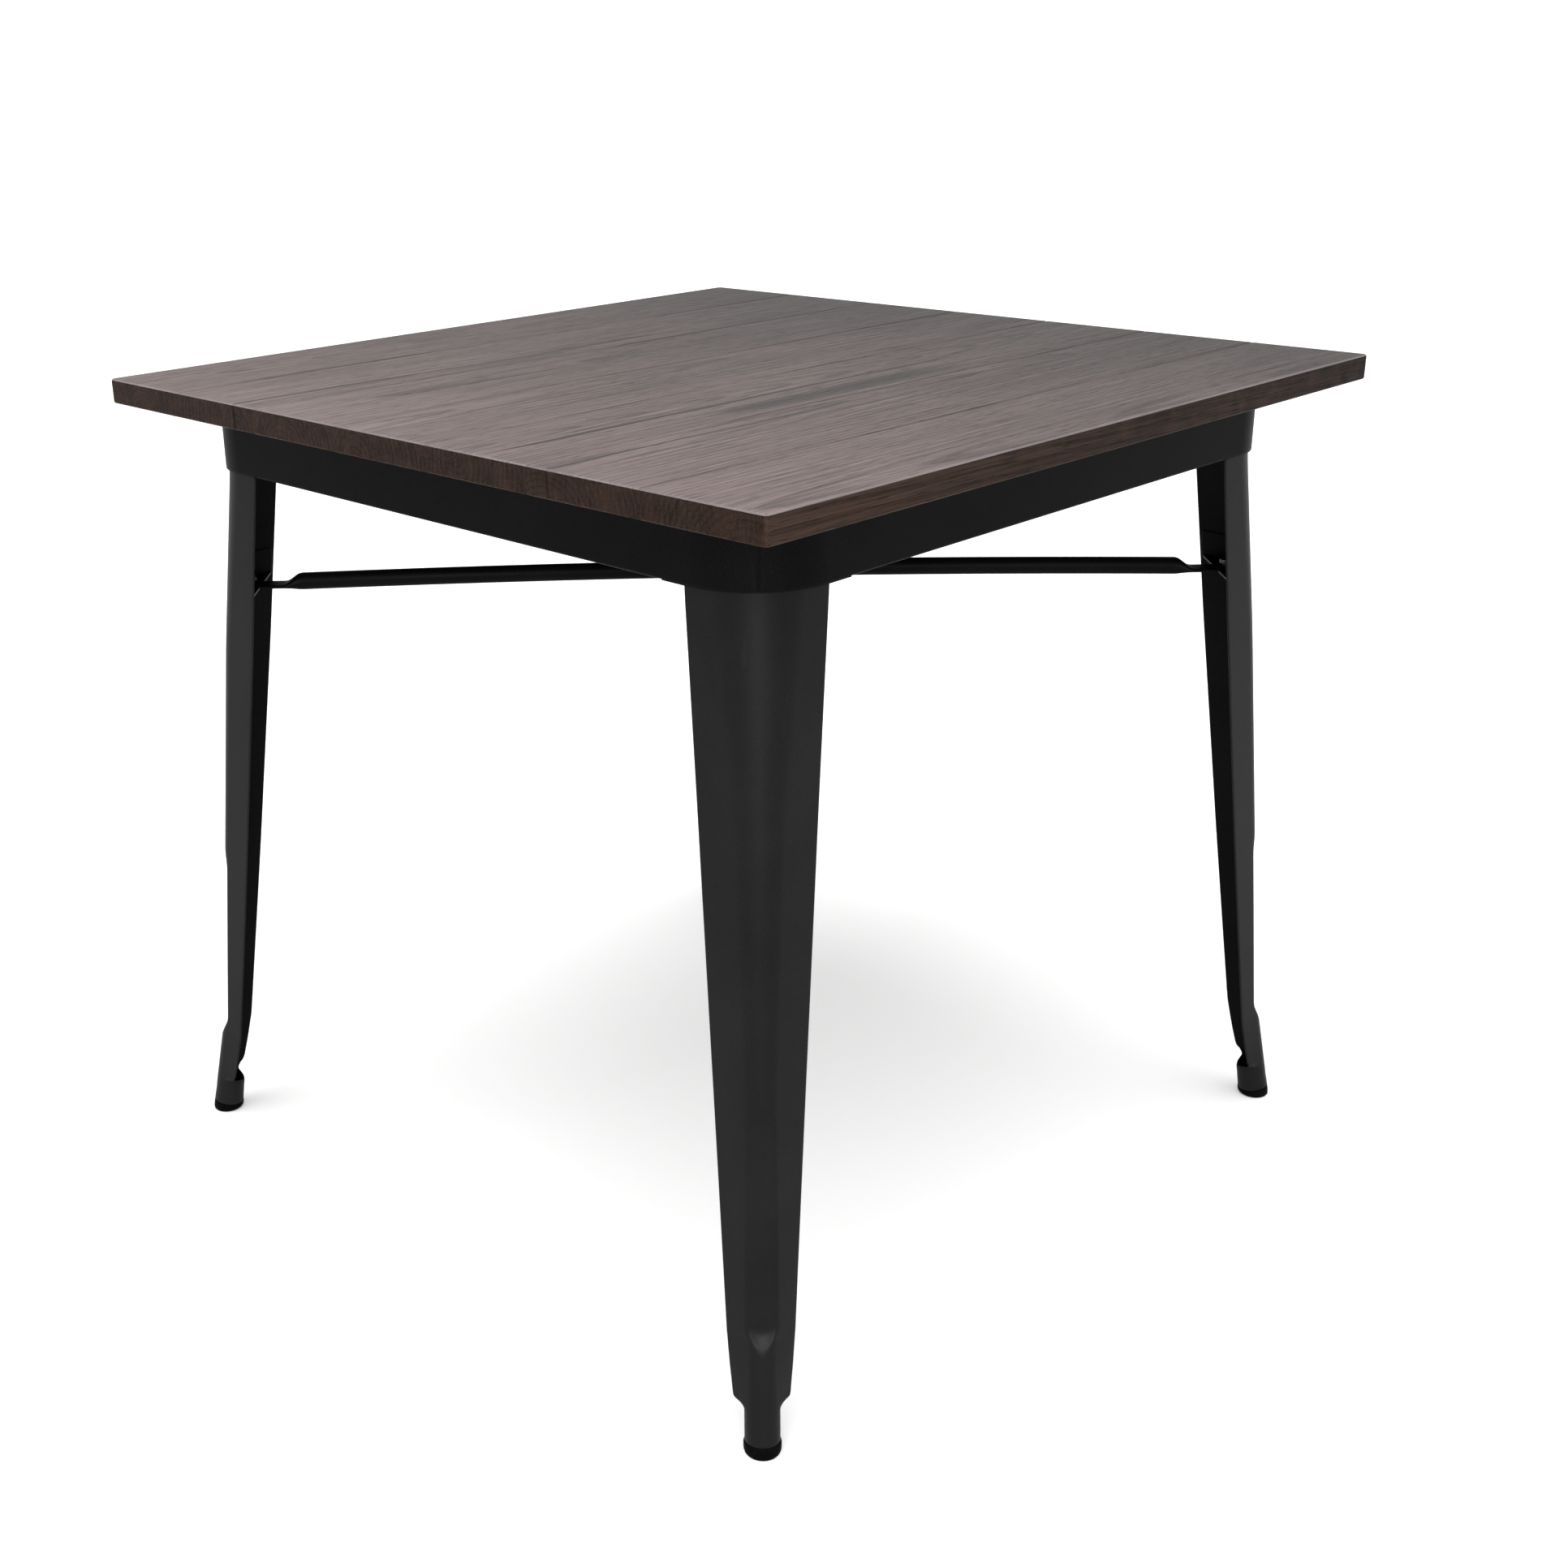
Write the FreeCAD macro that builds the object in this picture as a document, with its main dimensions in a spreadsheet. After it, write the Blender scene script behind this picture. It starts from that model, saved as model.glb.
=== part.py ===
import FreeCAD, Part
import math
import os

import Sketcher
from FreeCAD import Placement, Rotation, Vector

# Bistro table: a solid wood top of seven glued boards on a folded sheet-steel frame.
# Millimetres, +Z up, origin on the floor under the middle of the top.
# The front is -Y and the boards run along X.

doc = FreeCAD.newDocument("bistro_table")
sheet = doc.addObject("Spreadsheet::Sheet", "dims")

DIMENSIONS = [
    # wood top
    ("table_height", 755.0), ("top_side", 800.0), ("top_thick", 22.0), ("top_arris", 2.0),
    ("top_corner", 5.0), ("board_count", 7.0),
    # apron: four folded rails
    ("apron_inset", 50.0), ("apron_high", 57.0), ("apron_corner", 70.0), ("sheet_thick", 1.5),
    ("flange_deep", 22.0), ("lip_deep", 9.0), ("lip_half", 255.0),
    # legs: pressed 90 degree channels. Each station gives the height above the floor, the reach
    # of the rounded corner along the diagonal, half the width between the free edges, and the
    # outside radius of the corner.
    ("crown_level", 731.0),
    ("neck_level", 676.0), ("neck_reach", 464.2), ("neck_half", 52.0), ("neck_round", 46.98),
    ("shin_level", 505.0), ("shin_reach", 484.6), ("shin_half", 44.3), ("shin_round", 26.0),
    ("calf_level", 291.0), ("calf_reach", 507.2), ("calf_half", 34.8), ("calf_round", 17.0),
    ("ankle_level", 95.0), ("ankle_reach", 529.0), ("ankle_half", 26.8), ("ankle_round", 12.0),
    ("hem_level", 32.0), ("hem_reach", 541.6), ("hem_half", 22.2), ("hem_round", 14.6),
    # flat pressed down the corner of the lower leg
    ("flat_deep_high", 3.2), ("flat_deep_low", 6.8), ("flat_ramp", 14.0),
    # round foot rolled at the hem, and the relief between it and the flanges
    ("foot_radius", 14.3), ("foot_set", 0.35), ("foot_top", 33.0), ("foot_lip", 24.0),
    ("foot_end", 8.5),
    ("relief_top", 45.0), ("relief_keep", 17.0), ("relief_round", 5.0),
    # rubber cap
    ("cap_radius", 15.1), ("cap_plug", 12.0), ("cap_gap", 0.05), ("cap_round", 3.0),
    # braces: two round tubes with flattened ends
    ("brace_level", 563.5), ("brace_radius", 8.0), ("brace_wall", 1.5), ("brace_neck", 408.0),
    ("brace_neck_shift", 3.2), ("tongue_start", 424.0), ("tongue_hole", 455.0),
    ("tongue_half", 11.0), ("tongue_thick", 3.0),
    # gusset that carries a brace end inside the leg
    ("gusset_thick", 2.0), ("gusset_rise", 25.0), ("gusset_back", 2.0), ("gusset_open", 17.0),
    # M6 fasteners
    ("bolt_radius", 3.0), ("hole_radius", 3.3), ("thread_gap", 0.05), ("bolt_flats", 10.0),
    ("bolt_head", 4.0), ("nut_high", 5.0), ("weldnut_high", 6.5), ("washer_radius", 6.0),
    ("washer_thick", 1.2), ("legbolt_from_corner", 68.0), ("legbolt_low", 691.0),
    ("legbolt_high", 716.0), ("legbolt_back", 0.5),
    # wood screws
    ("screw_radius", 2.0), ("screw_long", 16.0), ("screw_head", 4.0), ("screw_head_high", 2.4),
    ("screw_slot", 2.5), ("screw_inset", 12.0), ("screw_pitch", 200.0),
]

for row, (alias, value) in enumerate(DIMENSIONS, start=1):
    sheet.set(f"A{row}", alias)
    sheet.set(f"B{row}", str(value))
    sheet.setAlias(f"B{row}", alias)
doc.recompute()


def dim(alias):
    """The value of one cell of the sheet."""
    return float(sheet.get(alias))


def bind(target, **expressions):
    """Bind properties of an object to expressions on the sheet; __ stands for a dot."""
    for name, expression in expressions.items():
        target.setExpression(name.replace("__", "."), expression)


def cell(alias):
    """The expression for one cell."""
    return f"dims.{alias}"


nodes = []


def keep(node, name):
    """Name a finished sub-part and list it for export."""
    node.Label = name
    nodes.append(node)
    return node


def turned(degrees, base=Vector(0, 0, 0)):
    """A placement turned about the upright axis."""
    return Placement(base, Rotation(Vector(0, 0, 1), degrees))


def body_plane(body, role):
    """One of a body's own origin planes, found by its role."""
    return next(f for f in body.Origin.OriginFeatures if f.Role == role)


def add_sketch(body, name, geometry, level=None):
    """A sketch on the body's XY plane, lifted to an expression's level."""
    sketch = body.newObject("Sketcher::SketchObject", name)
    sketch.AttachmentSupport = [(body_plane(body, "XY_Plane"), "")]
    sketch.MapMode = "FlatFace"
    sketch.addGeometry(geometry, False)
    if level:
        sketch.setExpression("AttachmentOffset.Base.z", level)
    return sketch


def add_pad(body, sketch, length, name):
    """Pad a sketch upwards by an expression."""
    pad = body.newObject("PartDesign::Pad", name)
    pad.Profile = sketch
    pad.setExpression("Length", length)
    sketch.Visibility = False
    return pad


def add_pocket(body, sketch, depth, name):
    """Cut a sketch upwards from its plane by an expression."""
    pocket = body.newObject("PartDesign::Pocket", name)
    pocket.Profile = sketch
    pocket.Reversed = True
    pocket.setExpression("Length", depth)
    sketch.Visibility = False
    return pocket


def add_rectangle(body, name, length, width, level=None):
    """A centred rectangle whose sides are bound to two expressions."""
    corners = [Vector(-1, -1, 0), Vector(1, -1, 0), Vector(1, 1, 0), Vector(-1, 1, 0)]
    lines = [Part.LineSegment(corners[i], corners[(i + 1) % 4]) for i in range(4)]
    sketch = add_sketch(body, name, lines, level)
    for i in range(4):
        sketch.addConstraint(Sketcher.Constraint("Coincident", i, 2, (i + 1) % 4, 1))
    for i, kind in enumerate(["Horizontal", "Vertical", "Horizontal", "Vertical"]):
        sketch.addConstraint(Sketcher.Constraint(kind, i))
    sketch.addConstraint(Sketcher.Constraint("Symmetric", 0, 1, 1, 2, -1, 1))
    sketch.addConstraint(Sketcher.Constraint("DistanceX", 0, 1, 0, 2, 2.0))
    sketch.renameConstraint(9, "length")
    sketch.addConstraint(Sketcher.Constraint("DistanceY", 1, 1, 1, 2, 2.0))
    sketch.renameConstraint(10, "width")
    sketch.setExpression("Constraints.length", length)
    sketch.setExpression("Constraints.width", width)
    return sketch


def add_fillet(body, base, radius, test, name):
    """Round the edges whose bounding box and middle pass a test."""
    names = []
    for i, edge in enumerate(base.Shape.Edges, start=1):
        if test(edge, edge.BoundBox.Center):
            names.append(f"Edge{i}")
    fillet = body.newObject("PartDesign::Fillet", name)
    fillet.Base = (base, names)
    fillet.setExpression("Radius", radius)
    return fillet


# --- Wood top: boards glued edge to edge, with eased arrises around the finished panel ---

board_count = int(dim("board_count"))
board_width = dim("top_side") / board_count
half_side = dim("top_side") / 2
screw_line = half_side - dim("apron_inset") - dim("screw_inset")
board_centres = [(i - (board_count - 1) / 2) * board_width for i in range(board_count)]


def make_board(index):
    """One board, with pilot holes for the screws that hold it to the frame."""
    body = doc.addObject("PartDesign::Body", f"board{index + 1}")
    width_expression = f"{cell('top_side')} / {cell('board_count')}"
    outline = add_rectangle(body, f"board{index + 1}_outline", cell("top_side"), width_expression)
    solid = add_pad(body, outline, cell("top_thick"), f"board{index + 1}_pad")
    doc.recompute()

    outward = {0: -1, board_count - 1: 1}.get(index, 0)
    if outward:
        solid = add_fillet(
            body, solid, cell("top_corner"),
            lambda e, c: e.BoundBox.ZLength > 1 and c.y * outward > 0, f"board{index + 1}_corner")
        doc.recompute()
    side = outward * board_width / 2

    def on_rim(edge, middle):
        if edge.BoundBox.ZLength > 0.01:
            return False
        box = edge.BoundBox
        along_end = abs(middle.x) > half_side - dim("top_corner") and box.YLength > 1
        along_side = outward and abs(middle.y - side) < 0.01
        return along_end or along_side

    solid = add_fillet(body, solid, cell("top_arris"), on_rim, f"board{index + 1}_arris")
    doc.recompute()

    if outward:
        spots = [(x, outward * screw_line - board_centres[index])
                 for x in (-dim("screw_pitch"), 0, dim("screw_pitch"))]
    else:
        spots = [(-screw_line, 0), (screw_line, 0)]
    circles = [Part.Circle(Vector(x, y, 0), Vector(0, 0, 1), dim("screw_radius") + 0.02)
               for x, y in spots]
    holes = add_sketch(body, f"board{index + 1}_pilots", circles)
    depth = f"{cell('screw_long')} - {cell('sheet_thick')} + 1"
    solid = add_pocket(body, holes, depth, f"board{index + 1}_holes")
    body.Tip = solid
    body.setExpression("Placement.Base.z", f"{cell('table_height')} - {cell('top_thick')}")
    shift = index - (board_count - 1) / 2
    body.setExpression("Placement.Base.y", f"{shift} * {width_expression}")
    return keep(body, f"tabletop_board_{index + 1}")


for index in range(board_count):
    make_board(index)


# --- Apron: four C-section rails that meet in mitres at the middle of the round corners ---

flat_half = half_side - dim("apron_inset") - dim("apron_corner")
face_line = half_side - dim("apron_inset")


def strip(depth):
    """Plan of a strip along the -Y side, one sheet or one flange deep, mitre to mitre."""
    outer = dim("apron_corner")
    inner = outer - depth

    def on_corner(side, radius, degrees):
        angle = math.radians(degrees)
        return Vector(side * (flat_half + radius * math.sin(angle)),
                      -flat_half - radius * math.cos(angle), 0)

    loops = []
    for side in (1, -1):
        for radius in (outer, inner):
            arc = Part.Arc(on_corner(side, radius, 0), on_corner(side, radius, 22.5),
                           on_corner(side, radius, 45))
            loops.append(arc)
        loops.append(Part.LineSegment(on_corner(side, outer, 45), on_corner(side, inner, 45)))
    for radius in (outer, inner):
        loops.append(Part.LineSegment(on_corner(-1, radius, 0), on_corner(1, radius, 0)))
    return loops


def make_rail(name, degrees, screw_spots):
    """One rail: web, screw flange under the wood and a stiffening lip along the lower edge."""
    body = doc.addObject("PartDesign::Body", name)
    web = add_sketch(body, f"{name}_web", strip(dim("sheet_thick")))
    add_pad(body, web, cell("apron_high"), f"{name}_web_pad")
    flange = add_sketch(body, f"{name}_flange", strip(dim("flange_deep")),
                        f"{cell('apron_high')} - {cell('sheet_thick')}")
    add_pad(body, flange, cell("sheet_thick"), f"{name}_flange_pad")
    lip = add_rectangle(body, f"{name}_lip", f"2 * {cell('lip_half')}", cell("lip_deep"))
    lip.setExpression("AttachmentOffset.Base.y",
                      f"{cell('apron_inset')} - {cell('top_side')} / 2 + {cell('lip_deep')} / 2")
    add_pad(body, lip, cell("sheet_thick"), f"{name}_lip_pad")
    circles = [Part.Circle(Vector(x, -screw_line, 0), Vector(0, 0, 1), dim("screw_slot"))
               for x in screw_spots]
    holes = add_sketch(body, f"{name}_slots", circles,
                       f"{cell('apron_high')} - {cell('sheet_thick')} - 1")
    body.Tip = add_pocket(body, holes, f"{cell('sheet_thick')} + 2", f"{name}_holes")
    body.Placement = turned(degrees)
    body.setExpression("Placement.Base.z", cell("neck_level"))
    return keep(body, name)


end_spots = [-dim("screw_pitch"), 0, dim("screw_pitch")]
side_spots = board_centres[1:-1]
SIDES = [("front", 0, end_spots), ("right", 90, side_spots),
         ("back", 180, end_spots), ("left", 270, side_spots)]
for side_name, degrees, spots in SIDES:
    make_rail(f"apron_rail_{side_name}", degrees, spots)


# --- Legs: one pressing each, drawn for the +X +Y corner and turned to the other three ---

CORNERS = [("back_right", 0), ("back_left", 90), ("front_left", 180), ("front_right", 270)]
STATIONS = ["neck", "shin", "calf", "ankle", "hem"]
ROOT2 = math.sqrt(2)


def diagonal(reach, across, level):
    """A point from its reach along the corner's diagonal, its offset across and its height."""
    return Vector((reach - across) / ROOT2, (reach + across) / ROOT2, level)


def leg_stations():
    """Level, reach, half width and corner radius from the crown down to the hem."""
    rows = [[dim(f"{s}_{q}") for q in ("level", "reach", "half", "round")] for s in STATIONS]
    return [[dim("crown_level")] + rows[0][1:]] + rows


def leg_reach(level):
    """Reach of the leg's corner at a height, along straight lines between the stations."""
    rows = leg_stations()
    for upper, lower in zip(rows, rows[1:]):
        if level >= lower[0] or lower is rows[-1]:
            share = (level - lower[0]) / (upper[0] - lower[0])
            return lower[1] + share * (upper[1] - lower[1])


def channel_outline(level, reach, half, corner, inward, mouth):
    """Closed outline of the channel at one height, offset inwards and opened at the mouth."""
    sharp = reach + (ROOT2 - 1) * corner - inward * ROOT2
    corner = corner - inward
    open_reach = reach + (ROOT2 - 1) * (corner + inward) - half - mouth
    spread = sharp - open_reach
    tangent = corner / ROOT2
    left = diagonal(open_reach, spread, level)
    left_bend = diagonal(sharp - tangent, tangent, level)
    tip = diagonal(sharp - (ROOT2 - 1) * corner, 0, level)
    right_bend = diagonal(sharp - tangent, -tangent, level)
    right = diagonal(open_reach, -spread, level)
    edges = [Part.makeLine(left, left_bend), Part.Arc(left_bend, tip, right_bend).toShape(),
             Part.makeLine(right_bend, right), Part.makeLine(right, left)]
    return Part.Wire(edges)


def channel(inward, mouth, rows):
    """Solid through the leg's outlines at the given stations."""
    return Part.makeLoft([channel_outline(*row, inward, mouth) for row in rows], True, True)


def side_prism(profile, half_width):
    """Prism across the leg from (reach, level) points joined by lines."""
    points = [diagonal(reach, -half_width, level) for reach, level in profile]
    across = diagonal(0, 2 * half_width, 0)
    return Part.Face(Part.makePolygon(points + points[:1])).extrude(across)


def foot_axis():
    """Point on the foot's axis at the floor and the unit vector up it."""
    rows = leg_stations()
    (high, high_reach), (low, low_reach) = [row[:2] for row in rows[-2:]]
    lean = (low_reach - high_reach) / (high - low)
    slant = math.hypot(1, lean)
    floor_reach = low_reach + lean * low - (dim("foot_radius") + dim("foot_set")) * slant
    return diagonal(floor_reach, 0, 0), diagonal(-lean, 0, 1) / slant


def foot_cylinder(radius, low, high):
    """Cylinder on the foot's axis between two heights."""
    floor_point, up = foot_axis()
    start = floor_point + up * (low / up.z)
    return Part.makeCylinder(radius, (high - low) / up.z, start, up)


def leg_shape():
    """Channel with its pressed flat, relieved flanges and rolled round foot."""
    wall = dim("sheet_thick")
    rows = leg_stations()
    outer = channel(0, 0, rows)
    above = [[rows[0][0] + 5] + rows[0][1:]]
    below = [[rows[-1][0] - 5] + rows[-1][1:]]
    inner = channel(wall, 10, above + rows + below)

    top, bottom = dim("calf_level"), dim("ankle_level")
    ramp = dim("flat_ramp")
    flat = [(leg_reach(top), top), (leg_reach(top - ramp) - dim("flat_deep_high"), top - ramp),
            (leg_reach(bottom + ramp) - dim("flat_deep_low"), bottom + ramp),
            (leg_reach(bottom), bottom),
            (leg_reach(bottom) + 40, bottom), (leg_reach(bottom) + 40, top)]
    cutter = side_prism(flat, 40)
    floor = cutter.copy()
    floor.translate(diagonal(-wall, 0, 0))
    floor_plate = floor.common(outer).cut(cutter)

    relief_low, relief_top = dim("hem_level"), dim("relief_top")
    keep_reach = leg_reach(relief_low) - dim("relief_keep")
    bend = dim("relief_round")
    relief = side_prism([(keep_reach, relief_low - 10), (keep_reach, relief_top - bend),
                         (keep_reach - bend, relief_top), (keep_reach - 60, relief_top),
                         (keep_reach - 60, relief_low - 10)], 60)

    radius = dim("foot_radius")
    tube = foot_cylinder(radius, dim("foot_end"), dim("foot_top"))
    inside = keep_reach - 1.5 * radius
    tube = tube.cut(side_prism([(keep_reach, dim("foot_top")), (inside, dim("foot_lip")),
                                (inside - 20, dim("foot_lip")), (inside - 20, 60),
                                (keep_reach, 60)], 40))
    bore = foot_cylinder(radius - wall, dim("foot_end") - 5, dim("foot_top") + 5)
    channel_wall = outer.cut(inner).cut(cutter).cut(relief)
    return channel_wall.fuse([floor_plate, tube.cut(bore)]).removeSplitter()


def drill(shape, radius, start, direction, length):
    """Cut a round hole."""
    return shape.cut(Part.makeCylinder(radius, length, start, direction))


flange_face = (leg_stations()[0][1] + (ROOT2 - 1) * dim("neck_round")) / ROOT2
bolt_line = flange_face - dim("legbolt_from_corner")
bolt_levels = [dim("legbolt_low"), dim("legbolt_high")]
leg = leg_shape()
for level in bolt_levels:
    for start, axis in [(Vector(flange_face + 2, bolt_line, level), Vector(-1, 0, 0)),
                        (Vector(bolt_line, flange_face + 2, level), Vector(0, -1, 0))]:
        leg = drill(leg, dim("hole_radius"), start, axis, 6)


def place_shape(shape, name, degrees):
    """A Part::Feature for a shape that no sketch or primitive gives, turned to its corner."""
    feature = doc.addObject("Part::Feature", name)
    feature.Shape = shape
    feature.Placement = turned(degrees)
    return keep(feature, name)


for corner_name, degrees in CORNERS:
    place_shape(leg, f"leg_{corner_name}", degrees)


# --- Gussets: a shelf and two upturned sides welded inside each leg, for the brace ends ---

def gusset_shape():
    """Shelf across the channel at the brace ends, with sides that follow the leg's walls."""
    thick = dim("gusset_thick")
    shelf_top = dim("brace_level") - dim("tongue_thick") / 2
    rise = dim("gusset_rise")
    rows = leg_stations()[1:3]
    wall = dim("sheet_thick")
    filling = channel(wall, 0, rows)
    hollow = channel(wall + thick, 10, rows)
    mouth = leg_reach(shelf_top) - dim("neck_half") / ROOT2 + dim("gusset_back")
    shelf_slab = Part.makeBox(400, 400, thick, Vector(200, 200, shelf_top - thick))
    side_slab = Part.makeBox(400, 400, rise, Vector(200, 200, shelf_top - thick))
    gap = dim("gusset_open")
    corner_gap = side_prism([(300, shelf_top), (560, shelf_top), (560, shelf_top + rise),
                             (300, shelf_top + rise)], gap)
    front_cut = side_prism([(300, 0), (mouth, 0), (mouth, 700), (300, 700)], 80)
    sides = filling.cut(hollow).common(side_slab).cut(corner_gap)
    shape = filling.common(shelf_slab).fuse(sides).cut(front_cut).removeSplitter()
    hole = diagonal(dim("tongue_hole"), 0, shelf_top + 5)
    return drill(shape, dim("hole_radius"), hole, Vector(0, 0, -1), 20)


gusset = gusset_shape()
for corner_name, degrees in CORNERS:
    place_shape(gusset, f"brace_gusset_{corner_name}", degrees)


# --- Rubber caps: a plug up the rolled foot and a sole cut level with the floor ---

def cap_shape():
    """Cap with a plug inside the foot, a level sole and a rounded lower rim."""
    end = dim("foot_end")
    rim = foot_cylinder(dim("cap_radius"), -20, end)
    floor_slab = Part.makeBox(200, 200, 60, diagonal(534, 0, 0) - Vector(100, 100, 0))
    rim = rim.common(floor_slab)
    sole_edges = [e for e in rim.Edges if e.BoundBox.ZMax < 0.01]
    rim = rim.makeFillet(dim("cap_round"), sole_edges)
    plug_radius = dim("foot_radius") - dim("sheet_thick") - dim("cap_gap")
    plug = foot_cylinder(plug_radius, end - 1, end + dim("cap_plug"))
    return rim.fuse(plug).removeSplitter()


cap = cap_shape()
for corner_name, degrees in CORNERS:
    place_shape(cap, f"foot_cap_{corner_name}", degrees)


# --- Braces: bowed round tubes with flattened, drilled ends, one over and one under ---

def tube_section(x, level, half_width, half_height, corner):
    """Rounded-box outline across the brace; a full corner radius makes it round."""
    flat_y = half_width - corner
    flat_z = half_height - corner
    points = []
    for turn in range(4):
        angle = math.radians(45 + 90 * turn)
        side_y = 1 if math.cos(angle) > 0 else -1
        side_z = 1 if math.sin(angle) > 0 else -1
        points.append(Vector(x, side_y * (flat_y + corner * abs(math.cos(angle))),
                             level + side_z * (flat_z + corner * abs(math.sin(angle)))))
    mids = [Vector(x, 0, level + half_height), Vector(x, -half_width, level),
            Vector(x, 0, level - half_height), Vector(x, half_width, level)]
    edges = []
    for i, mid in enumerate(mids):
        edges.append(Part.Arc(points[i], mid, points[(i + 1) % 4]).toShape())
    return Part.Wire(edges)


def flattened_section(x, level, half_width, half_height):
    """Flattened tube outline: straight top and bottom, round sides."""
    flat_y = half_width - half_height
    corners = [Vector(x, flat_y, level + half_height), Vector(x, -flat_y, level + half_height),
               Vector(x, -flat_y, level - half_height), Vector(x, flat_y, level - half_height)]
    left = Vector(x, -half_width, level)
    right = Vector(x, half_width, level)
    edges = [Part.makeLine(corners[0], corners[1]),
             Part.Arc(corners[1], left, corners[2]).toShape(),
             Part.makeLine(corners[2], corners[3]),
             Part.Arc(corners[3], right, corners[0]).toShape()]
    return Part.Wire(edges)


def brace_shape(side_up):
    """A tube along X, bowed up (1) or down (-1) in the middle, before it is turned."""
    radius, wall = dim("brace_radius"), dim("brace_wall")
    level, neck, start = dim("brace_level"), dim("brace_neck"), dim("tongue_start")
    half_thick, half_wide = dim("tongue_thick") / 2, dim("tongue_half")
    neck_level = level + side_up * dim("brace_neck_shift")
    bow = side_up * (radius - dim("brace_neck_shift"))
    steps = [i / 3 for i in range(-3, 4)]

    def round_tube(size):
        rings = [tube_section(k * neck, neck_level + bow * (1 - k * k), size, size, size)
                 for k in steps]
        return Part.makeLoft(rings, True, False)

    tube = round_tube(radius)
    bore = round_tube(radius - wall)
    parts = [tube]
    for side in (-1, 1):
        outer_round = tube_section(side * neck, neck_level, radius, radius, radius)
        outer_flat = flattened_section(side * start, level, half_wide, half_thick)
        parts.append(Part.makeLoft([outer_round, outer_flat], True, True))
        inner_round = tube_section(side * neck, neck_level, radius - wall, radius - wall,
                                   radius - wall)
        inner_flat = flattened_section(side * (start - 3), level, half_wide - 3, 0.3)
        bore = bore.fuse(Part.makeLoft([inner_round, inner_flat], True, True))
        tongue = Part.makeBox(dim("tongue_hole") - start, 2 * half_wide, 2 * half_thick,
                              Vector(0, -half_wide, -half_thick))
        tongue.translate(Vector(start if side > 0 else -dim("tongue_hole"), 0, level))
        tip = Part.makeCylinder(half_wide, 2 * half_thick,
                                Vector(side * dim("tongue_hole"), 0, level - half_thick))
        parts += [tongue, tip]
    shape = parts[0].fuse(parts[1:]).cut(bore)
    for x in (-dim("tongue_hole"), 0, dim("tongue_hole")):
        shape = drill(shape, dim("hole_radius"), Vector(x, 0, level - 40), Vector(0, 0, 1), 80)
    return shape


place_shape(brace_shape(1), "brace_upper", -45)
place_shape(brace_shape(-1), "brace_lower", 45)


# --- Fasteners: primitives bound to the sheet, gathered into one node per place ---

def add_primitive(kind, name, **expressions):
    """A Part primitive whose sizes are bound to the sheet."""
    solid = doc.addObject(f"Part::{kind}", name)
    bind(solid, **expressions)
    return solid


def add_fuse(name, *solids):
    """Several primitives as one solid."""
    fuse = doc.addObject("Part::MultiFuse", name)
    fuse.Shapes = list(solids)
    return fuse


def add_cut(name, base, tool):
    """One primitive less another."""
    cut = doc.addObject("Part::Cut", name)
    cut.Base = base
    cut.Tool = tool
    return cut


def make_bolt(name, length):
    """Hexagon bolt: the shank runs up from z = 0 and the head hangs below it."""
    head = add_primitive("Prism", f"{name}_head", Circumradius=f"{cell('bolt_flats')} / sqrt(3)",
                         Height=cell("bolt_head"), Placement__Base__z=f"-{cell('bolt_head')}")
    shank = add_primitive("Cylinder", f"{name}_shank", Radius=cell("bolt_radius"), Height=length)
    return add_fuse(name, head, shank)


def make_nut(name, height):
    """Hexagon nut from z = 0 upwards, with running clearance on the bolt."""
    block = add_primitive("Prism", f"{name}_block", Height=height,
                          Circumradius=f"{cell('bolt_flats')} / sqrt(3)")
    bore = add_primitive("Cylinder", f"{name}_bore", Height=height,
                         Radius=f"{cell('bolt_radius')} + {cell('thread_gap')}")
    return add_cut(name, block, bore)


def gather(name, members, degrees=0):
    """One node made of several like pieces."""
    group = doc.addObject("Part::Compound", name)
    group.Links = members
    group.Placement = turned(degrees)
    return keep(group, name)


def aimed(position, direction):
    """A placement that turns a piece's own z axis to a direction."""
    return Placement(position, Rotation(Vector(0, 0, 1), direction))


wall = dim("sheet_thick")
web_face = face_line - wall
TOWARDS = {"x": Vector(1, 0, 0), "y": Vector(0, 1, 0)}
for corner_name, degrees in CORNERS:
    bolts, nuts = [], []
    for axis_name, outwards in TOWARDS.items():
        sideways = Vector(outwards.y, outwards.x, 0)
        for row, level in enumerate(bolt_levels, start=1):
            tag = f"{corner_name}_{axis_name}{row}"
            spot = sideways * bolt_line + Vector(0, 0, level)
            bolt = make_bolt(f"legbolt_{tag}", f"{cell('weldnut_high')} + {cell('sheet_thick')}"
                             f" - {cell('legbolt_back')}")
            bolt.Placement = aimed(spot + outwards * (flange_face - wall), outwards)
            bolts.append(bolt)
            nut = make_nut(f"weldnut_{tag}", cell("weldnut_high"))
            nut.Placement = aimed(spot + outwards * (web_face - dim("weldnut_high")), outwards)
            nuts.append(nut)
    gather(f"leg_bolts_{corner_name}", bolts, degrees)
    gather(f"weld_nuts_{corner_name}", nuts, degrees)

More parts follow.
